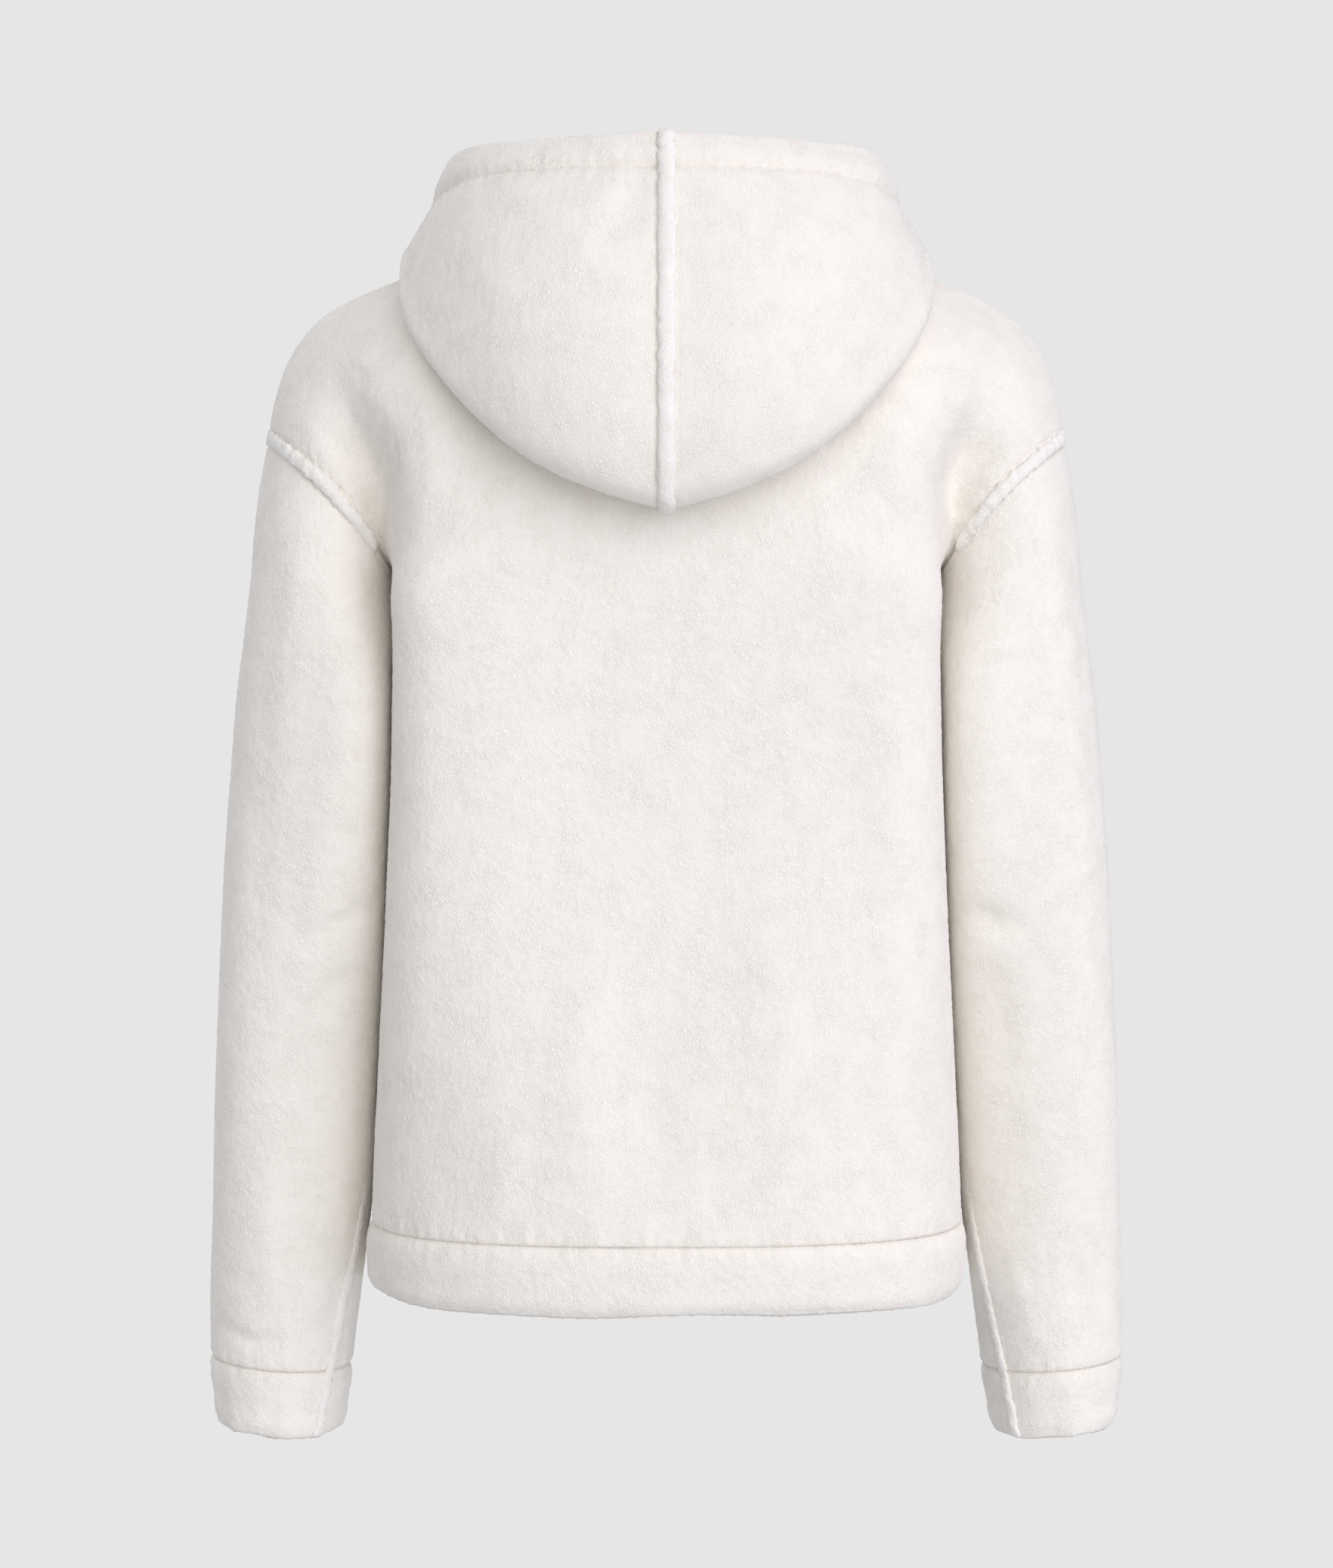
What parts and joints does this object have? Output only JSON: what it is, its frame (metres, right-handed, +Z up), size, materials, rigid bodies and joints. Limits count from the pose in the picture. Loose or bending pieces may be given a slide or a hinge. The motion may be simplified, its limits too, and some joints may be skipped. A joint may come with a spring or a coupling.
{
  "type": "sherpa fleece hooded pullover",
  "caption": "Pullover in curly sherpa fleece with dropped shoulders, long straight sleeves, doubled cuffs and hem band, and a hood let down on the back.",
  "frame": {"origin": "middle of the neck, level with the high points of the shoulders, where the wearer holds the garment", "axes": "+Z up, +Y the way the wearer faces, +X towards the wearer's right side; the back faces -Y"},
  "size_m": [0.551, 0.2987, 0.7629],
  "materials": {
    "sherpa_fleece": "matt curly pile, cream"
  },
  "bodies": {
    "root": {"back_panel": "sherpa_fleece", "front_panel": "sherpa_fleece", "hem_band": "sherpa_fleece", "sleeve_left": "sherpa_fleece", "sleeve_right": "sherpa_fleece", "cuff_left": "sherpa_fleece", "cuff_right": "sherpa_fleece", "hood_left": "sherpa_fleece", "hood_right": "sherpa_fleece", "hood_seam": "sherpa_fleece", "armhole_seam_left": "sherpa_fleece", "armhole_seam_right": "sherpa_fleece", "sleeve_seam_left": "sherpa_fleece", "sleeve_seam_right": "sherpa_fleece"}
  },
  "joints": []
}
